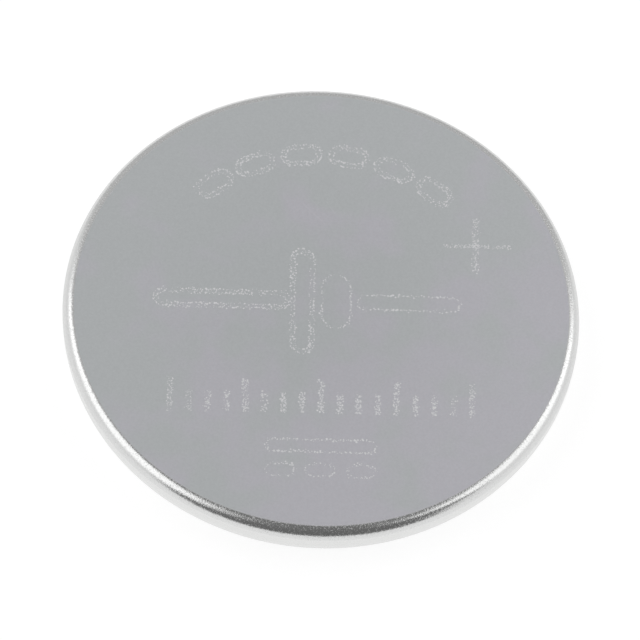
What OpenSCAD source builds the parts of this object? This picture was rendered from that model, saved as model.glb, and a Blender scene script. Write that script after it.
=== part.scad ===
// Lithium coin cell, 16 mm across and 2 mm high, crimped shut.
// The origin is the centre of the negative contact, and +Z points at the positive face.
// Every piece is a solid of revolution: its half section is drawn with X as the
// radius and Y as the height, and turned once round the cell's axis.

/* [Cell] */
// Outer diameter
cell_d = 16.0; // [12:0.1:24.5]
// Overall height, from the negative contact to the positive face
cell_h = 2.0; // [1.6:0.05:3.2]

/* [Positive can] */
// Sheet thickness of the can
can_t = 0.25; // [0.2:0.01:0.3]
// Outer radius of the rolled shoulder round the positive face
shoulder_r = 0.36; // [0.32:0.01:0.48]
// Outer radius of the curl that folds the rim over the gasket, where the height leaves room
rim_r = 1.3; // [1.1:0.05:1.5]
// Angle through which the rim is curled inward, from upright
rim_turn = 72; // [60:1:80]
// Height of the rim's cut edge above the negative contact
rim_lift = 0.25; // [0.15:0.01:0.35]

/* [Negative cap] */
// Sheet thickness of the cap
cap_t = 0.2; // [0.15:0.01:0.25]
// Width of the flat ledge between the step and the shoulder
ledge_w = 0.25; // [0.1:0.01:1]
// Inside radius of the two bends of the step round the contact
step_bend_r = 0.1; // [0.05:0.01:0.15]
// How much tighter the cap's shoulder is bent than the inside of the can's curl
shoulder_tighter = 0.45; // [0.38:0.01:0.55]

/* [Gasket] */
// Thickness of the gasket's wall, between the can and the cap's skirt
gasket_t = 0.3; // [0.25:0.01:0.35]
// Thickness left where the curl squeezes the gasket hardest
squeeze_t = 0.15; // [0.1:0.01:0.2]
// Thickness of the foot that the skirt stands on
foot_t = 0.2; // [0.1:0.01:0.25]
// Thickness of the leg inside the skirt
leg_t = 0.2; // [0.1:0.01:0.3]
// Angle by which the gasket's lip shows past the rim's cut edge
lip_past = 12; // [6:1:16]

/* [Lithium] */
// Thickness of the lithium disc
lithium_t = 0.4; // [0.3:0.01:0.6]
// Gap between the lithium disc and the wall of the cap's well
lithium_gap = 0.6; // [0.3:0.05:1.5]

/* [Separator] */
// Thickness of the separator
separator_t = 0.2; // [0.1:0.01:0.3]
// Height to which the separator's rim stands up round the pellet
separator_rim_h = 0.5; // [0.3:0.05:0.6]
// Inside radius of the fold at the separator's rim
separator_fold_r = 0.05; // [0.02:0.01:0.1]

/* [Pellet and ring] */
// Sheet thickness of the collector ring
ring_t = 0.1; // [0.05:0.01:0.15]
// Height left between the collector ring's edge and the separator's floor
ring_lift = 0.35; // [0.1:0.05:0.7]
// Width of the collector ring's flange, which is let into the pellet
ring_flange = 0.8; // [0.4:0.1:2]
// Bevel round the pellet's edge at the separator
pellet_bevel = 0.1; // [0.05:0.01:0.15]

/* [Clearances] */
// Between the separator and the wall of the cap's well
well_clear = 0.05; // [0.03:0.01:0.1]
// Between the separator's rim and the collector ring
ring_clear = 0.05; // [0.03:0.01:0.1]

/* [Hidden] */
$fn = 128;

// How far the straight far side of a sector stays outside the disc that it cuts
sector_spare = 1.2;
// Straight wall that the curl leaves at least, under the shoulder
wall_min_h = 0.05;

// Worked-out heights are kept to whole microns, so that strips and bends meet exactly.
function micron(length) = round(length * 1000) / 1000;

cell_r = cell_d / 2;

// Can: its floor, and the radius and centre of the curl
can_floor_z = cell_h - can_t;
shoulder_z = cell_h - shoulder_r;
curl_room_r = (shoulder_z - wall_min_h - rim_lift) / sin(rim_turn);
curl_r = micron(min(rim_r, curl_room_r));
rim_centre_r = cell_r - curl_r;
rim_centre_z = micron(rim_lift + curl_r * sin(rim_turn));
rim_inside_r = curl_r - can_t;

// Cap: the skirt is set in from the can by the gasket's wall, and its shoulder lies
// where the curl leaves squeeze_t of gasket at the narrowest place.
skirt_r = cell_r - can_t - gasket_t;
skirt_end_z = can_floor_z - foot_t;
cap_shoulder_r = rim_inside_r - shoulder_tighter;
cap_shoulder_centre_r = skirt_r - cap_shoulder_r;
shoulder_offset = rim_inside_r - cap_shoulder_r - squeeze_t;
shoulder_offset_r = cap_shoulder_centre_r - rim_centre_r;
shoulder_offset_z = sqrt(pow(shoulder_offset, 2) - pow(shoulder_offset_r, 2));
cap_shoulder_centre_z = micron(rim_centre_z - shoulder_offset_z);
ledge_z = cap_shoulder_centre_z - cap_shoulder_r;
contact_r = cap_shoulder_centre_r - ledge_w - step_bend_r;
well_r = contact_r - cap_t;

// Gasket
leg_r = skirt_r - cap_t - leg_t;
lip_turn = rim_turn + lip_past;

// Stack of discs, from the cap's floor up to the can's floor
lithium_z = cap_t;
separator_z = lithium_z + lithium_t;
pellet_z = separator_z + separator_t;
separator_r = well_r - well_clear;
ring_r = separator_r - separator_t - ring_clear;
pellet_r = ring_r - ring_t;

// Strip of sheet between two radii and two heights
module strip(inner_r, outer_r, low_z, high_z) {
    polygon([
        [inner_r, low_z],
        [outer_r, low_z],
        [outer_r, high_z],
        [inner_r, high_z]
    ]);
}

// Everything between two directions less than half a turn apart, as seen from a point
module sector(centre, reach, start, end) {
    far = reach * sector_spare / cos((end - start) / 2);
    polygon([
        centre,
        centre + far * [cos(start), sin(start)],
        centre + far * [cos(end), sin(end)]
    ]);
}

// Part of a disc between two directions
module disc_part(centre, radius, start, end) {
    intersection() {
        translate(centre) circle(radius);
        sector(centre, radius, start, end);
    }
}

// Round bend in a sheet, tangent to the strips at both of its ends
module bend(centre, inside_r, sheet_t, start, end) {
    difference() {
        disc_part(centre, inside_r + sheet_t, start, end);
        translate(centre) circle(inside_r);
    }
}

// Drawn cup: face, shoulder, short straight wall and curled rim
module can_section() {
    strip(0, cell_r - shoulder_r, can_floor_z, cell_h);
    bend([cell_r - shoulder_r, shoulder_z], shoulder_r - can_t, can_t, 0, 90);
    strip(cell_r - can_t, cell_r, rim_centre_z, shoulder_z);
    bend([rim_centre_r, rim_centre_z], rim_inside_r, can_t, -rim_turn, 0);
}

// Space inside the can, down to the lowest point of the curl
module can_space() {
    strip(0, cell_r - shoulder_r, shoulder_z, can_floor_z);
    disc_part([cell_r - shoulder_r, shoulder_z], shoulder_r - can_t, 0, 90);
    strip(0, cell_r - can_t, rim_centre_z, shoulder_z);
    disc_part([rim_centre_r, rim_centre_z], rim_inside_r, -90, 0);
}

// Drawn dish: contact, step, ledge, shoulder and skirt
module cap_section() {
    bend_outside_r = step_bend_r + cap_t;
    strip(0, contact_r - bend_outside_r, 0, cap_t);
    bend([contact_r - bend_outside_r, bend_outside_r], step_bend_r, cap_t, 270, 360);
    strip(well_r, contact_r, bend_outside_r, ledge_z - step_bend_r);
    bend([contact_r + step_bend_r, ledge_z - step_bend_r], step_bend_r, cap_t, 90, 180);
    strip(contact_r + step_bend_r, cap_shoulder_centre_r, ledge_z, ledge_z + cap_t);
    bend([cap_shoulder_centre_r, cap_shoulder_centre_z], cap_shoulder_r - cap_t, cap_t, 270, 360);
    strip(skirt_r - cap_t, skirt_r, cap_shoulder_centre_z, skirt_end_z);
}

// Everything that the cap's ledge, shoulder and skirt enclose
module cap_envelope() {
    strip(0, skirt_r, cap_shoulder_centre_z, skirt_end_z);
    strip(0, cap_shoulder_centre_r, ledge_z, cap_shoulder_centre_z);
    disc_part([cap_shoulder_centre_r, cap_shoulder_centre_z], cap_shoulder_r, 270, 360);
}

// Where the gasket may be: foot and leg outside leg_r, and the wall down to the lip
module gasket_zone() {
    strip(leg_r, cell_r, cap_shoulder_centre_z, cell_h);
    intersection() {
        strip(rim_centre_r, cell_r, 0, cap_shoulder_centre_z);
        sector([rim_centre_r, rim_centre_z], curl_r, -lip_turn, 0);
    }
}

// Fills the room between the can and the cap, with its leg inside the skirt
module gasket_section() {
    difference() {
        intersection() {
            can_space();
            gasket_zone();
        }
        difference() {
            cap_envelope();
            strip(leg_r, skirt_r - cap_t, cap_shoulder_centre_z, cell_h);
        }
    }
}

// Shallow cup with a folded-up rim
module separator_section() {
    fold_outside_r = separator_fold_r + separator_t;
    fold_r = separator_r - fold_outside_r;
    fold_z = separator_z + fold_outside_r;
    strip(0, fold_r, separator_z, pellet_z);
    bend([fold_r, fold_z], separator_fold_r, separator_t, 270, 360);
    strip(separator_r - separator_t, separator_r, fold_z, pellet_z + separator_rim_h);
}

// L-shaped ring, with its flange against the can's floor
module ring_section() {
    strip(pellet_r, ring_r, pellet_z + ring_lift, can_floor_z);
    strip(pellet_r - ring_flange, pellet_r, can_floor_z - ring_t, can_floor_z);
}

// Pressed tablet, bevelled at the separator and rebated for the ring's flange
module pellet_section() {
    polygon([
        [0, pellet_z],
        [pellet_r - pellet_bevel, pellet_z],
        [pellet_r, pellet_z + pellet_bevel],
        [pellet_r, can_floor_z - ring_t],
        [pellet_r - ring_flange, can_floor_z - ring_t],
        [pellet_r - ring_flange, can_floor_z],
        [0, can_floor_z]
    ]);
}

module positive_can() {
    color([0.67, 0.67, 0.69]) rotate_extrude() can_section();
}

module collector_ring() {
    color([0.6, 0.61, 0.63]) rotate_extrude() ring_section();
}

module cathode_pellet() {
    color([0.12, 0.12, 0.12]) rotate_extrude() pellet_section();
}

module separator() {
    color([0.93, 0.93, 0.91]) rotate_extrude() separator_section();
}

module lithium_anode() {
    color([0.78, 0.79, 0.8])
        translate([0, 0, lithium_z])
            cylinder(r = well_r - lithium_gap, h = lithium_t);
}

module gasket() {
    color([0.85, 0.87, 0.86]) rotate_extrude() gasket_section();
}

module negative_cap() {
    color([0.74, 0.74, 0.75]) rotate_extrude() cap_section();
}

positive_can();
collector_ring();
cathode_pellet();
separator();
lithium_anode();
gasket();
negative_cap();
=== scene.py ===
"""Looks of a lithium coin cell, 16 mm across and 2 mm high, in a plain white studio.

The outer pieces are lathed again from the same profiles as the CAD solids, with finer steps, so that their
metal reflects smoothly. The inner pieces keep their CAD meshes and get a material each.
"""

import math
import random

import bpy
from mathutils import Matrix, Vector


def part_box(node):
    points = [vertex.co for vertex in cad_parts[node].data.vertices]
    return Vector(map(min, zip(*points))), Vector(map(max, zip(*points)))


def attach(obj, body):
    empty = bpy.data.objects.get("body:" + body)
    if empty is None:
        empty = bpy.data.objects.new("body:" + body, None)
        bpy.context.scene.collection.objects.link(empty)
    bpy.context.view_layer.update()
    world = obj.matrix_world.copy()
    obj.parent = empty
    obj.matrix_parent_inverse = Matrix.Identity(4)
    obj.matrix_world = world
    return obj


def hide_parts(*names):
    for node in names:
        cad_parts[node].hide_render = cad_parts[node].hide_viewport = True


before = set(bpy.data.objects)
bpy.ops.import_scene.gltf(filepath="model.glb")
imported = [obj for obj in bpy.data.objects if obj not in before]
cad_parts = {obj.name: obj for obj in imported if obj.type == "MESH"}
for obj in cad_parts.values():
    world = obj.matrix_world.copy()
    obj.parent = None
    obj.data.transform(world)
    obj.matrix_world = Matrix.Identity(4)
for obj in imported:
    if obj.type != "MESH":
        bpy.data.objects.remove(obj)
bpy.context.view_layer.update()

MM = 0.001

# Sizes that the frame gives, in metres
CAN_LOW, CAN_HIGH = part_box("positive_can")
CAP_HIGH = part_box("negative_cap")[1]
CELL_R = CAN_HIGH.x
CELL_H = CAN_HIGH.z
CAN_T = CELL_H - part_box("cathode_pellet")[1].z
CAP_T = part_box("lithium_anode")[0].z
RIM_LIFT = CAN_LOW.z
SKIRT_R = CAP_HIGH.x
SKIRT_END_Z = CAP_HIGH.z

# Sizes of bends and folds in metres and degrees, the same as those of the CAD solids
SHOULDER_R = 0.36 * MM
RIM_R = 1.3 * MM
RIM_TURN = 72
LEDGE_W = 0.25 * MM
STEP_BEND_R = 0.1 * MM
SHOULDER_TIGHTER = 0.45 * MM
SQUEEZE_T = 0.15 * MM
LEG_T = 0.2 * MM
LIP_PAST = 12

# Places worked out from those sizes
CAN_FLOOR_Z = CELL_H - CAN_T
SHOULDER_Z = CELL_H - SHOULDER_R
FACE_R = CELL_R - SHOULDER_R
RIM_CENTRE_R = CELL_R - RIM_R
RIM_CENTRE_Z = RIM_LIFT + RIM_R * math.sin(math.radians(RIM_TURN))
RIM_INSIDE_R = RIM_R - CAN_T
LIP_TURN = RIM_TURN + LIP_PAST
CAP_SHOULDER_R = RIM_INSIDE_R - SHOULDER_TIGHTER
CAP_SHOULDER_CENTRE_R = SKIRT_R - CAP_SHOULDER_R
CAP_SHOULDER_CENTRE_Z = RIM_CENTRE_Z - math.sqrt(
    (RIM_INSIDE_R - CAP_SHOULDER_R - SQUEEZE_T) ** 2 - (CAP_SHOULDER_CENTRE_R - RIM_CENTRE_R) ** 2
)
LEDGE_Z = CAP_SHOULDER_CENTRE_Z - CAP_SHOULDER_R
CONTACT_R = CAP_SHOULDER_CENTRE_R - LEDGE_W - STEP_BEND_R
SKIRT_INSIDE_R = SKIRT_R - CAP_T
LEG_R = SKIRT_INSIDE_R - LEG_T

# Steps of a lathed mesh: how many in a whole turn, and how many degrees of a bend each takes at most
TURN_STEPS = 384
DEGREES_PER_STEP = 5
# How far a guarding point is from the end of its straight stretch, and the least length that gets them
GUARD = 0.01 * MM
GUARDED_LENGTH = 8 * GUARD
# Radius under which a point counts as one on the axis
AXIS_R = 1e-9
# Turn in degrees between two faces from which their edge looks sharp
SHARP_ANGLE = 35


# Profiles: closed loops of (radius, height)

def arc(centre, radius, start, end):
    """Points on an arc, from one direction to the other in degrees, both ends included."""
    steps = max(2, math.ceil(abs(end - start) / DEGREES_PER_STEP))
    turns = [math.radians(start + (end - start) * i / steps) for i in range(steps + 1)]
    return [(centre[0] + radius * math.cos(t), centre[1] + radius * math.sin(t)) for t in turns]


def can_profile():
    """Cup: face, rolled shoulder, short straight wall and curled rim, then back along the inside."""
    shoulder = (FACE_R, SHOULDER_Z)
    curl = (RIM_CENTRE_R, RIM_CENTRE_Z)
    return [
        (0, CELL_H),
        *arc(shoulder, SHOULDER_R, 90, 0),
        *arc(curl, RIM_R, 0, -RIM_TURN),
        *arc(curl, RIM_INSIDE_R, -RIM_TURN, 0),
        *arc(shoulder, SHOULDER_R - CAN_T, 0, 90),
        (0, CAN_FLOOR_Z),
    ]


def cap_profile():
    """Dish: contact, step, ledge, shoulder and skirt, then back along the inside."""
    bend_outside_r = STEP_BEND_R + CAP_T
    lower = (CONTACT_R - bend_outside_r, bend_outside_r)
    upper = (CONTACT_R + STEP_BEND_R, LEDGE_Z - STEP_BEND_R)
    shoulder = (CAP_SHOULDER_CENTRE_R, CAP_SHOULDER_CENTRE_Z)
    return [
        (0, 0),
        *arc(lower, bend_outside_r, 270, 360),
        *arc(upper, STEP_BEND_R, 180, 90),
        *arc(shoulder, CAP_SHOULDER_R, 270, 360),
        (SKIRT_R, SKIRT_END_Z),
        (SKIRT_INSIDE_R, SKIRT_END_Z),
        *arc(shoulder, CAP_SHOULDER_R - CAP_T, 360, 270),
        *arc(upper, bend_outside_r, 90, 180),
        *arc(lower, STEP_BEND_R, 360, 270),
        (0, CAP_T),
    ]


def gasket_profile():
    """Moulded ring: leg, foot, wall between can and skirt, and the lip folded over the cap's shoulder."""
    lip = math.radians(LIP_TURN)
    lip_inner_r = RIM_CENTRE_R + (RIM_CENTRE_Z - LEDGE_Z) / math.tan(lip)
    return [
        (LEG_R, CAP_SHOULDER_CENTRE_Z),
        (SKIRT_INSIDE_R, CAP_SHOULDER_CENTRE_Z),
        (SKIRT_INSIDE_R, SKIRT_END_Z),
        (SKIRT_R, SKIRT_END_Z),
        *arc((CAP_SHOULDER_CENTRE_R, CAP_SHOULDER_CENTRE_Z), CAP_SHOULDER_R, 360, 270),
        (lip_inner_r, LEDGE_Z),
        *arc((RIM_CENTRE_R, RIM_CENTRE_Z), RIM_INSIDE_R, -LIP_TURN, 0),
        *arc((FACE_R, SHOULDER_Z), SHOULDER_R - CAN_T, 0, 90),
        (LEG_R, CAN_FLOOR_Z),
    ]


# Meshes

def guarded(profile):
    """The profile with a guarding point close to each end of its long straight stretches.
    The points keep those stretches flat in the shading."""
    points = []
    for (r0, z0), (r1, z1) in zip(profile, profile[1:] + profile[:1]):
        length = math.hypot(r1 - r0, z1 - z0)
        points.append((r0, z0))
        if length > GUARDED_LENGTH and not r0 == r1 == 0:
            share = GUARD / length
            points += [(r0 + (r1 - r0) * s, z0 + (z1 - z0) * s) for s in (share, 1 - share)]
    return points


def lathe(name, profile, material, replaced):
    """Turns a closed profile round +Z, and lets the piece stand for a CAD node."""
    vertices, rings = [], []
    for radius, height in guarded(profile):
        if radius < AXIS_R:
            rings.append([len(vertices)] * TURN_STEPS)
            vertices.append((0, 0, height))
            continue
        rings.append(list(range(len(vertices), len(vertices) + TURN_STEPS)))
        for i in range(TURN_STEPS):
            turn = 2 * math.pi * i / TURN_STEPS
            vertices.append((radius * math.cos(turn), radius * math.sin(turn), height))
    faces = []
    for lower, upper in zip(rings, rings[1:] + rings[:1]):
        if lower[0] == lower[1] and upper[0] == upper[1]:
            continue
        for i in range(TURN_STEPS):
            j = (i + 1) % TURN_STEPS
            corners = [lower[i], lower[j], upper[j], upper[i]]
            faces.append(tuple(dict.fromkeys(corners)))
    mesh = bpy.data.meshes.new(name)
    mesh.from_pydata(vertices, [], faces)
    return place(name, mesh, material, replaced)


def place(name, mesh, material, replaced=None):
    """Puts a mesh in the scene as a piece of the object."""
    mesh.validate()
    mesh.materials.append(material)
    mesh.shade_smooth()
    mesh.set_sharp_from_angle(angle=math.radians(SHARP_ANGLE))
    piece = bpy.data.objects.new(name, mesh)
    bpy.context.scene.collection.objects.link(piece)
    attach(piece, "root")
    if replaced:
        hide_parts(replaced)
    return piece


# Marks on the positive face, as rows of small laser specks. They are plain signs, bars and ticks.

# Turn of all marks about the face's centre
MARK_TURN = math.radians(4.2)
# Distance between close rows and between the specks of a row, and the usual distance that they stray from it
ROW_GAP = 0.15 * MM
SPECK_STEP = 0.035 * MM
STRAY = 0.026 * MM
# Smallest and largest radius of a speck, the number of its sides, and how far its corners are from its
# centre at least and at most, as shares of its radius
SPECK_R = (0.014 * MM, 0.048 * MM)
SPECK_SIDES = 6
CORNER_REACH = (0.75, 1.2)
# How far a speck stands out of the face, and how far it is set into it
SPECK_HEIGHT = 0.003 * MM
SPECK_SINK = 0.002 * MM
# The laser's strength along a row: where it starts, its least, and how much it changes at most by each speck
FIRST_STRENGTH = 0.8
LEAST_STRENGTH = 0.5
STRENGTH_CHANGE = 0.15
# Share of its radius that a speck has at no strength, and the share that full strength adds
WEAK_SHARE = 0.6
STRONG_SHARE = 0.6
MARK_SEED = 7


def turned(points):
    """Points of the marks' own frame, turned as the marks are on the face."""
    c, s = math.cos(MARK_TURN), math.sin(MARK_TURN)
    return [(c * x - s * y, s * x + c * y) for x, y in points]


def along(path, step):
    """Points every step along a path of straight stretches."""
    points = []
    for (x0, y0), (x1, y1) in zip(path, path[1:]):
        count = max(1, round(math.hypot(x1 - x0, y1 - y0) / step))
        points += [(x0 + (x1 - x0) * i / count, y0 + (y1 - y0) * i / count) for i in range(count)]
    return points


def bar(centre, length, width, turn=0.0):
    """Closed outline of a bar with half-round ends."""
    end_steps = 6
    radius = width / 2
    half = length / 2 - radius
    points = []
    for offset, start in ((half, -90), (-half, 90)):
        for i in range(end_steps + 1):
            a = math.radians(start + 180 * i / end_steps)
            points.append((offset + radius * math.cos(a), radius * math.sin(a)))
    points.append(points[0])
    c, s = math.cos(turn), math.sin(turn)
    return [(centre[0] + c * x - s * y, centre[1] + s * x + c * y) for x, y in points]


def bold_bar(centre, length, width, turn):
    """Outline of a bar, drawn as two rows: one outside it and one inside."""
    wider = 0.8 * ROW_GAP
    return [bar(centre, length + more, width + more, turn) for more in (wider, -wider)]


def stroke(start, end, width=ROW_GAP):
    """Straight stroke, drawn as three rows."""
    dx, dy = end[0] - start[0], end[1] - start[1]
    length = math.hypot(dx, dy)
    nx, ny = -dy / length * width / 2, dx / length * width / 2
    return [
        [(start[0] + k * nx, start[1] + k * ny), (end[0] + k * nx, end[1] + k * ny)]
        for k in (-1, 0, 1)
    ]


def plus_sign():
    """Sign of the positive pole, where the photo has it."""
    x, y = 4.77 * MM, 2.32 * MM
    left, right, down, up = 0.97 * MM, 1.10 * MM, 0.93 * MM, 1.01 * MM
    return [
        *stroke((x - left, y), (x + right, y), width=0.5 * ROW_GAP),
        *stroke((x, y - down), (x, y + up)),
    ]


def arc_of_bars():
    """Six bars along the far edge, from left to right, with their turns in degrees."""
    count, first_turn, pitch = 6, 128, 15.5
    ring_r, length, width = 5.5 * MM, 1.15 * MM, 0.6 * MM
    paths = []
    for i in range(count):
        turn = math.radians(first_turn - pitch * i)
        centre = (ring_r * math.cos(turn), ring_r * math.sin(turn))
        paths += bold_bar(centre, length, width, turn - math.pi / 2)
    return paths


def cell_sign():
    """Circuit sign of a cell: a long thin plate and a short thick one, with a lead on each side."""
    y = 0.2 * MM
    upright = math.pi / 2
    return [
        *bold_bar((-3.1 * MM, y), length=4.1 * MM, width=0.5 * MM, turn=0.0),
        *bold_bar((-0.6 * MM, y), length=3.6 * MM, width=0.6 * MM, turn=upright),
        bar((0.45 * MM, y), length=1.9 * MM, width=0.9 * MM, turn=upright),
        bar((2.7 * MM, y), length=3.2 * MM, width=0.5 * MM),
    ]


def row_of_ticks():
    """Plain scale, with every fourth tick taller."""
    count, pitch, taller_every = 17, 0.58 * MM, 4
    low, short, tall = -3.75 * MM, 0.7 * MM, 1.15 * MM
    paths = []
    for i in range(count):
        x = (i - (count - 1) / 2) * pitch
        height = tall if i % taller_every == 0 else short
        paths += stroke((x, low), (x, low + height), width=0.8 * ROW_GAP)
    return paths


def direct_current_sign():
    """A line over three dashes."""
    line_y, dash_y, pitch = -4.9 * MM, -5.75 * MM, 1.25 * MM
    line_length, dash_length, width = 3.4 * MM, 0.9 * MM, 0.42 * MM
    line = bar((0.0, line_y), line_length, width)
    dashes = [bar((i * pitch, dash_y), dash_length, width) for i in (-1, 0, 1)]
    return [line, *dashes]


def mark_paths():
    """Every row of specks, as paths in the marks' own frame."""
    return plus_sign() + arc_of_bars() + cell_sign() + row_of_ticks() + direct_current_sign()


def laser_marks(material):
    """All specks as one mesh of low closed domes, set a little into the face."""
    dice = random.Random(MARK_SEED)
    vertices, faces = [], []
    for path in mark_paths():
        strength = FIRST_STRENGTH
        for x, y in turned(along(path, SPECK_STEP)):
            change = dice.uniform(-STRENGTH_CHANGE, STRENGTH_CHANGE)
            strength = min(1.0, max(LEAST_STRENGTH, strength + change))
            if dice.random() > strength:
                continue
            radius = dice.triangular(*SPECK_R, SPECK_R[0]) * (WEAK_SHARE + STRONG_SHARE * strength)
            cx = x + dice.gauss(0, STRAY)
            cy = y + dice.gauss(0, STRAY)
            spin = dice.uniform(0, math.tau)
            base = len(vertices)
            for i in range(SPECK_SIDES):
                a = spin + math.tau * i / SPECK_SIDES
                r = radius * dice.uniform(*CORNER_REACH)
                vertices.append((cx + r * math.cos(a), cy + r * math.sin(a), CELL_H - SPECK_SINK / 2))
            vertices.append((cx, cy, CELL_H + SPECK_HEIGHT))
            vertices.append((cx, cy, CELL_H - SPECK_SINK))
            top, bottom = base + SPECK_SIDES, base + SPECK_SIDES + 1
            for i in range(SPECK_SIDES):
                j = (i + 1) % SPECK_SIDES
                faces.append((base + i, base + j, top))
                faces.append((base + j, base + i, bottom))
    mesh = bpy.data.meshes.new("laser_marks")
    mesh.from_pydata(vertices, [], faces)
    return place("laser_marks", mesh, material)


# Materials, with their sizes in millimetres

# Faint scratches on the face: both ends of each, their width, and how much brighter they are than the face
SCRATCHES = [((-1.0, 3.75), (-0.05, 2.9)), ((-0.2, 3.85), (0.22, 3.28))]
SCRATCH_W = 0.08
SCRATCH_SHINE = 0.035
# How far from its middle a scratch is at its full strength, as a share of its length
SCRATCH_FULL = 0.3


class Shader:
    """A material's node tree, with a short call for each kind of node that it needs."""

    def __init__(self, name, **surface):
        self.material = bpy.data.materials.new(name)
        self.material.use_nodes = True
        self.tree = self.material.node_tree
        self.surface = self.tree.nodes["Principled BSDF"]
        for socket, value in surface.items():
            self.surface.inputs[socket.replace("_", " ")].default_value = value

    def node(self, kind, **settings):
        made = self.tree.nodes.new("ShaderNode" + kind)
        for name, value in settings.items():
            setattr(made, name, value)
        return made

    def feed(self, socket, value):
        """Gives an input a number, a colour or another node's output."""
        if isinstance(value, bpy.types.NodeSocket):
            self.tree.links.new(value, socket)
        elif value is not None:
            socket.default_value = value

    def math(self, operation, a, b=None, c=None):
        made = self.node("Math", operation=operation)
        for socket, value in zip(made.inputs, (a, b, c)):
            self.feed(socket, value)
        return made.outputs[0]

    def times(self, value, factor):
        return self.math("MULTIPLY", value, factor)

    def scaled(self, vector, factor):
        """Place or colour times a number."""
        made = self.node("VectorMath", operation="SCALE")
        self.feed(made.inputs["Vector"], vector)
        self.feed(made.inputs["Scale"], factor)
        return made.outputs[0]

    def position(self):
        """Place on the object, in millimetres."""
        return self.scaled(self.node("TexCoord").outputs["Object"], 1 / MM)

    def split(self, vector):
        made = self.node("SeparateXYZ")
        self.feed(made.inputs[0], vector)
        return made.outputs

    def join(self, x, y, z):
        made = self.node("CombineXYZ")
        for socket, value in zip(made.inputs, (x, y, z)):
            self.feed(socket, value)
        return made.outputs[0]

    def polar(self, x, y):
        """Distance from the cell's axis, and the angle round it in radians."""
        radius = self.math("SQRT", self.math("ADD", self.times(x, x), self.times(y, y)))
        return radius, self.math("ARCTAN2", y, x)

    def noise(self, vector, size, detail=2.0, rough=0.5):
        """Noise whose lumps are about size millimetres across."""
        made = self.node("TexNoise")
        self.feed(made.inputs["Vector"], vector)
        self.feed(made.inputs["Scale"], 1 / size)
        self.feed(made.inputs["Detail"], detail)
        self.feed(made.inputs["Roughness"], rough)
        return made.outputs["Fac"]

    def ramp(self, value, low, high, start=0.0, end=1.0):
        """Smooth step of a value, from start at low to end at high."""
        made = self.node("MapRange", interpolation_type="SMOOTHSTEP")
        for socket, number in zip(made.inputs, (value, low, high, start, end)):
            self.feed(socket, number)
        return made.outputs[0]

    def mix(self, share, a, b):
        """Blend of two numbers, which are inputs 2 and 3 of the node."""
        made = self.node("Mix", data_type="FLOAT")
        self.feed(made.inputs[0], share)
        self.feed(made.inputs[2], a)
        self.feed(made.inputs[3], b)
        return made.outputs[0]

    def tint(self, share, a, b):
        """Blend of two colours, which are inputs 6 and 7 of the node, and its output 2."""
        made = self.node("Mix", data_type="RGBA")
        self.feed(made.inputs[0], share)
        self.feed(made.inputs[6], a)
        self.feed(made.inputs[7], b)
        return made.outputs[2]

    def scratch(self, x, y, start, end):
        """1 along a straight line between two points, fading out towards its sides and its ends."""
        dx, dy = end[0] - start[0], end[1] - start[1]
        length = math.hypot(dx, dy)
        along_x, along_y = dx / length, dy / length
        from_x, from_y = self.math("SUBTRACT", x, start[0]), self.math("SUBTRACT", y, start[1])
        along_it = self.math("ADD", self.times(from_x, along_x), self.times(from_y, along_y))
        aside = self.math("SUBTRACT", self.times(from_x, along_y), self.times(from_y, along_x))
        from_middle = self.math("ABSOLUTE", self.math("SUBTRACT", along_it, length / 2))
        line = self.ramp(self.math("ABSOLUTE", aside), 0.0, SCRATCH_W / 2, 1.0, 0.0)
        return self.times(line, self.ramp(from_middle, SCRATCH_FULL * length, length / 2, 1.0, 0.0))

    def colour(self, value):
        self.feed(self.surface.inputs["Base Color"], value)

    def roughness(self, value):
        self.feed(self.surface.inputs["Roughness"], value)

    def bump(self, height, depth):
        """Relief: height from 0 to 1 stands for depth in millimetres."""
        made = self.node("Bump")
        self.feed(made.inputs["Height"], height)
        self.feed(made.inputs["Distance"], depth * MM)
        self.feed(self.surface.inputs["Normal"], made.outputs[0])


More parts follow.
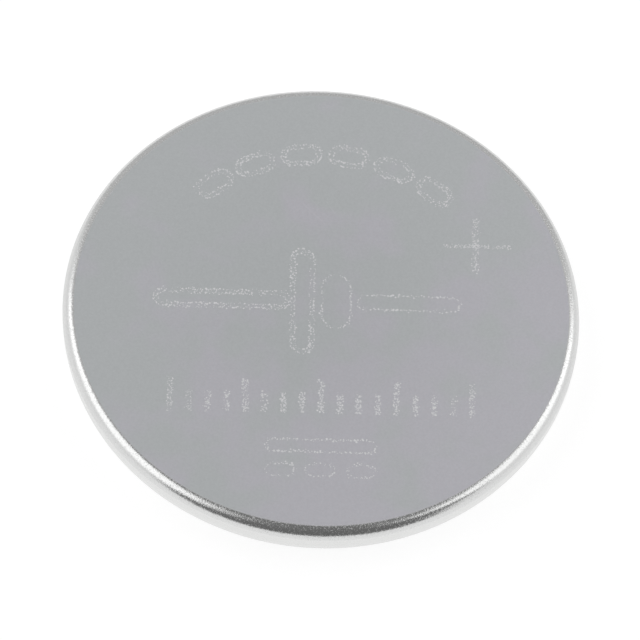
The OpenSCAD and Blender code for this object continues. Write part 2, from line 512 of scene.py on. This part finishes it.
def can_steel():
    """Stainless can: satin face, orange-peel shoulder and a smoother wall."""
    greenish, purplish = (0.653, 0.677, 0.687, 1), (0.684, 0.678, 0.724, 1)
    shoulder_grey, wall_grey = (0.665, 0.668, 0.665, 1), (0.738, 0.740, 0.734, 1)
    face_rough, polished, matted, wall_rough = 0.34, 0.2, 0.4, 0.27
    shoulder_from, shoulder_full = FACE_R / MM - 0.01, FACE_R / MM + 0.05
    wall_from, wall_full = SHOULDER_Z / MM + 0.08, SHOULDER_Z / MM - 0.02

    s = Shader("can_steel", Metallic=1.0)
    position = s.position()
    x, y, height = s.split(position)
    radius, turn = s.polar(x, y)
    off_face = s.ramp(radius, shoulder_from, shoulder_full)
    on_wall = s.ramp(height, wall_from, wall_full)

    # greenish grey at the back and left, purplish grey at the front and right: a painted tint of the
    # reflected light along a slant, mixed with soft clouds of random tone
    rise_right, fall_back = 0.012, 0.018
    all_greenish, all_purplish = 0.42, 0.66
    painted_tint_slant = s.math("SUBTRACT", s.times(x, rise_right), s.times(y, fall_back))
    cloud = s.math("ADD", s.noise(position, size=2.0), painted_tint_slant)
    face = s.tint(s.ramp(cloud, all_greenish, all_purplish), greenish, purplish)

    # fine grain, and painted light that makes the face a little brighter towards its edge, with the scratches
    # on top
    grain_contrast, centre_painted_light, edge_painted_light = 0.14, 0.905, 0.95
    grain = s.noise(position, size=0.07, rough=0.6)
    # painted light: the face's colour brightens from its centre to its edge
    level = s.ramp(radius, 0.0, CELL_R / MM, centre_painted_light, edge_painted_light)
    grain_scratches_and_painted_light = s.math("MULTIPLY_ADD", grain, grain_contrast, level)
    for start, end in SCRATCHES:
        grain_scratches_and_painted_light = s.math("ADD", grain_scratches_and_painted_light, s.times(s.scratch(x, y, start, end), SCRATCH_SHINE))
    s.colour(s.tint(on_wall, s.scaled(s.tint(off_face, face, shoulder_grey), grain_scratches_and_painted_light), wall_grey))

    # the shoulder is matted in dots
    all_polished, all_matted = 0.54, 0.66
    dots = s.ramp(s.noise(position, size=0.045, detail=1.0), all_polished, all_matted)
    shoulder_rough = s.mix(dots, polished, matted)
    s.roughness(s.mix(on_wall, s.mix(off_face, face_rough, shoulder_rough), wall_rough))

    # relief: the shoulder has its full depth, and noise drawn out in height makes streaks up the wall
    depth, grain_share, streak_share, drawn_out = 0.004, 0.1, 0.16, 0.2
    peel = s.noise(position, size=0.045, rough=0.6)
    round_wall = s.times(turn, CELL_R / MM)
    streaks = s.noise(s.join(round_wall, 0.0, s.times(height, drawn_out)), size=0.12)
    above_wall = s.mix(off_face, s.times(grain, grain_share), peel)
    s.bump(s.mix(on_wall, above_wall, s.times(streaks, streak_share)), depth)
    return s.material


def mark_steel():
    """Steel melted by the laser: paler and rougher than the face."""
    s = Shader("mark_steel", Metallic=0.0)
    spots = s.noise(s.position(), size=0.12, detail=1.0)
    s.colour(s.tint(spots, (0.81, 0.81, 0.83, 1), (0.96, 0.96, 0.98, 1)))
    s.roughness(s.mix(spots, 0.6, 0.45))
    return s.material


def cap_steel():
    """Stainless cap: satin, with faint rings from drawing."""
    ring_share, ring_drift = 0.4, 0.15
    s = Shader("cap_steel", Metallic=1.0)
    position = s.position()
    x, y = s.split(position)[:2]
    radius, turn = s.polar(x, y)
    cloud = s.noise(position, size=2.5)
    s.colour(s.tint(cloud, (0.68, 0.69, 0.69, 1), (0.70, 0.695, 0.71, 1)))
    s.roughness(s.mix(cloud, 0.26, 0.36))
    rings = s.noise(s.join(radius, 0.0, s.times(turn, ring_drift)), size=0.05)
    grain = s.noise(position, size=0.04)
    s.bump(s.math("ADD", s.times(rings, ring_share), grain), depth=0.002)
    return s.material


def gasket_plastic():
    """Natural polypropylene, a little cloudy."""
    s = Shader("gasket_plastic", IOR=1.49)
    position = s.position()
    cloud = s.noise(position, size=0.8, detail=3.0)
    s.colour(s.tint(cloud, (0.68, 0.71, 0.69, 1), (0.77, 0.79, 0.77, 1)))
    s.roughness(s.mix(cloud, 0.35, 0.5))
    s.bump(s.noise(position, size=0.1), depth=0.004)
    return s.material


def ring_steel():
    """Rolled strip with fine lines along it."""
    s = Shader("ring_steel", Metallic=1.0)
    height = s.split(s.position())[2]
    lines = s.noise(s.join(0.0, 0.0, height), size=0.03)
    s.colour(s.tint(lines, (0.56, 0.57, 0.59, 1), (0.64, 0.65, 0.67, 1)))
    s.roughness(s.mix(lines, 0.25, 0.4))
    s.bump(lines, depth=0.002)
    return s.material


def pellet_powder():
    """Pressed black powder with grey specks."""
    all_black, all_grey = 0.55, 0.75
    s = Shader("pellet", Metallic=0.0)
    grains = s.noise(s.position(), size=0.06, detail=3.0, rough=0.7)
    specks = s.ramp(grains, all_black, all_grey)
    s.colour(s.tint(specks, (0.03, 0.03, 0.03, 1), (0.11, 0.11, 0.11, 1)))
    s.roughness(s.mix(grains, 0.7, 0.9))
    s.bump(grains, depth=0.02)
    return s.material


def separator_felt():
    """White felt of fine fibres, which are longer than they are wide and lie both ways."""
    times_longer, width = 6.0, 0.15
    s = Shader("separator_felt")
    x, y, z = s.split(s.position())
    one_way = s.noise(s.join(s.times(x, times_longer), y, z), size=width, detail=3.0)
    other_way = s.noise(s.join(x, s.times(y, times_longer), z), size=width, detail=3.0)
    fibres = s.math("MAXIMUM", one_way, other_way)
    s.colour(s.tint(fibres, (0.80, 0.80, 0.77, 1), (0.93, 0.93, 0.91, 1)))
    s.roughness(s.mix(fibres, 0.85, 0.95))
    s.bump(fibres, depth=0.01)
    return s.material


def lithium_metal():
    """Soft grey foil, dulled in patches."""
    s = Shader("lithium_metal", Metallic=1.0)
    position = s.position()
    patches = s.noise(position, size=1.2, detail=4.0)
    s.colour(s.tint(patches, (0.60, 0.61, 0.63, 1), (0.78, 0.79, 0.81, 1)))
    s.roughness(s.mix(patches, 0.35, 0.6))
    s.bump(s.noise(position, size=0.1, detail=3.0), depth=0.005)
    return s.material


def dress(node, material):
    """Gives a CAD node its material."""
    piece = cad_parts[node]
    piece.data.materials.clear()
    piece.data.materials.append(material)


# Studio, in metres

# Floor, the sweep up to the backdrop, and the backdrop's height in front of the cell and elsewhere
FLOOR_R = 0.5
SWEEP_R = 0.02
FRONT_WALL_H = 0.04
BACK_WALL_H = 0.29
# Between these directions from the front, in degrees, the backdrop rises from the one height to the other
FRONT_OPENING = (46, 50)
# Glow of the floor and of the backdrop behind the cell, which begins between these two places along Y
FLOOR_GLOW = 0.84
BACK_WALL_GLOW = 0.47
BACK_WALL_FROM = (0.30, 0.43)
# Grey of the floor as light falls on it
FLOOR_ALBEDO = 0.3
# Brightness of the dim room all round, and the distance of the lamps from the cell
WORLD_LIGHT = 0.17
LAMP_DISTANCE = 0.6


def studio_white():
    """Pale floor and backdrop: it glows where the camera or a reflection sees it, and it takes shadows.
    The part of the backdrop behind the cell is a pale grey, which the far edge reflects."""
    s = Shader("studio_white")
    s.tree.nodes.remove(s.surface)
    matte = s.node("BsdfDiffuse")
    s.feed(matte.inputs["Color"], (FLOOR_ALBEDO, FLOOR_ALBEDO, FLOOR_ALBEDO, 1))
    path = s.node("LightPath").outputs
    seen = s.math("MAXIMUM", path["Is Camera Ray"], path["Is Glossy Ray"])
    seen_or_through = s.math("MAXIMUM", seen, path["Is Transmission Ray"])
    y = s.split(s.node("TexCoord").outputs["Object"])[1]
    level = s.ramp(y, *BACK_WALL_FROM, FLOOR_GLOW, BACK_WALL_GLOW)
    glow = s.node("Emission")
    s.feed(glow.inputs["Strength"], s.math("MULTIPLY", seen_or_through, level))
    both = s.node("AddShader")
    s.feed(both.inputs[0], matte.outputs[0])
    s.feed(both.inputs[1], glow.outputs[0])
    s.feed(s.tree.nodes["Material Output"].inputs["Surface"], both.outputs[0])
    return s.material


def wall_height(turn):
    """Height of the backdrop: low in front of the cell, where the camera stands, and tall everywhere else."""
    from_front = abs(math.degrees(math.remainder(turn + math.pi / 2, math.tau)))
    low, high = FRONT_OPENING
    share = min(1.0, max(0.0, (from_front - low) / (high - low)))
    smooth_share = share * share * (3 - 2 * share)
    return FRONT_WALL_H + (BACK_WALL_H - FRONT_WALL_H) * smooth_share


def floor_and_backdrop(material):
    """Round floor that sweeps up into a wall all round."""
    steps, sweep_steps = 144, 8
    vertices, faces = [(0, 0, 0)], []
    rings = sweep_steps + 2
    for k in range(rings):
        for i in range(steps):
            turn = math.tau * i / steps
            bend = math.radians(90 * min(k, sweep_steps) / sweep_steps)
            radius = FLOOR_R - SWEEP_R + SWEEP_R * math.sin(bend)
            height = wall_height(turn) if k == rings - 1 else SWEEP_R - SWEEP_R * math.cos(bend)
            vertices.append((radius * math.cos(turn), radius * math.sin(turn), height))
    for i in range(steps):
        j = (i + 1) % steps
        faces.append((0, 1 + i, 1 + j))
        for k in range(rings - 1):
            a, b = 1 + k * steps, 1 + (k + 1) * steps
            faces.append((a + i, b + i, b + j, a + j))
    mesh = bpy.data.meshes.new("floor")
    mesh.from_pydata(vertices, [], faces)
    mesh.materials.append(material)
    mesh.shade_smooth()
    floor = bpy.data.objects.new("floor", mesh)
    bpy.context.scene.collection.objects.link(floor)


def softbox(name, azimuth, elevation, width, height, radiance, shape="RECTANGLE"):
    """Flat lamp that faces the cell, from a direction in degrees: azimuth 0 is behind, 90 on the right.
    Width and height are the angles that it fills. Its radiance is its brightness as a reflection shows it."""
    a, e = math.radians(azimuth), math.radians(elevation)
    towards = Vector((math.sin(a) * math.cos(e), math.cos(a) * math.cos(e), math.sin(e)))
    lamp = bpy.data.lights.new(name, "AREA")
    lamp.shape = shape
    lamp.size = 2 * LAMP_DISTANCE * math.tan(math.radians(width / 2))
    lamp.size_y = 2 * LAMP_DISTANCE * math.tan(math.radians(height / 2))
    filled = math.pi / 4 if shape == "ELLIPSE" else 1.0
    lamp.energy = radiance * math.pi * lamp.size * lamp.size_y * filled
    holder = bpy.data.objects.new(name, lamp)
    holder.location = towards * LAMP_DISTANCE
    holder.rotation_euler = towards.to_track_quat("Z", "Y").to_euler()
    bpy.context.scene.collection.objects.link(holder)


def lights():
    """Large soft lamps behind, left and right, and a dim room that the shoulder reflects."""
    softbox("back_lamp", azimuth=0, elevation=50.5, width=94, height=38, radiance=0.43)
    softbox("left_lamp", azimuth=-93.5, elevation=46.5, width=65, height=58, radiance=1.32, shape="ELLIPSE")
    softbox("right_lamp", azimuth=80, elevation=47, width=51, height=47, radiance=1.24)
    world = bpy.data.worlds.new("room")
    bpy.context.scene.world = world
    world.use_nodes = True
    background = world.node_tree.nodes["Background"]
    background.inputs["Color"].default_value = (1, 1, 1, 1)
    background.inputs["Strength"].default_value = WORLD_LIGHT


# Camera: fitted to the outline of the cell in the photograph

CAMERA_ELEVATION = math.radians(60.0)
CAMERA_ROLL = math.radians(5.27)
# Distance, and the nearest and farthest that it sees, in metres
CAMERA_DISTANCE = 0.2
CAMERA_CLIP = (0.01, 5.0)
# The photograph's side, its scale at the middle of the cell, and the pixel where that middle is
PICTURE_PIXELS = 640
PIXELS_PER_MM = 32.24
CENTRE_PIXEL = (320.23, 322.82)
# Width of the camera's sensor, in the millimetres that Blender counts lenses in
SENSOR = 36.0


def camera():
    """Looks down on the cell from the near side, turned a little about its own axis."""
    data = bpy.data.cameras.new("camera")
    data.sensor_width = SENSOR
    focal_pixels = PIXELS_PER_MM / MM * CAMERA_DISTANCE
    data.lens = focal_pixels * SENSOR / PICTURE_PIXELS
    data.clip_start, data.clip_end = CAMERA_CLIP
    back = Vector((0, -math.cos(CAMERA_ELEVATION), math.sin(CAMERA_ELEVATION)))
    level = Vector((1, 0, 0))
    upright = back.cross(level)
    right = math.cos(CAMERA_ROLL) * level + math.sin(CAMERA_ROLL) * upright
    up = back.cross(right)
    off_right = (PICTURE_PIXELS / 2 - CENTRE_PIXEL[0]) / PIXELS_PER_MM * MM
    off_up = (CENTRE_PIXEL[1] - PICTURE_PIXELS / 2) / PIXELS_PER_MM * MM
    aim = Vector((0, 0, CELL_H / 2)) + right * off_right + up * off_up
    eye = aim + back * CAMERA_DISTANCE
    holder = bpy.data.objects.new("camera", data)
    columns = Matrix((right, up, back)).transposed().to_4x4()
    holder.matrix_world = Matrix.Translation(eye) @ columns
    bpy.context.scene.collection.objects.link(holder)
    bpy.context.scene.camera = holder


def build():
    """Makes the pieces, the studio and the camera."""
    camera()
    lights()
    floor_and_backdrop(studio_white())
    lathe("can_shell", can_profile(), can_steel(), replaced="positive_can")
    lathe("gasket_ring", gasket_profile(), gasket_plastic(), replaced="gasket")
    lathe("cap_shell", cap_profile(), cap_steel(), replaced="negative_cap")
    laser_marks(mark_steel())
    dress("collector_ring", ring_steel())
    dress("cathode_pellet", pellet_powder())
    dress("separator", separator_felt())
    dress("lithium_anode", lithium_metal())
    bpy.context.scene.view_settings.view_transform = "Standard"


build()
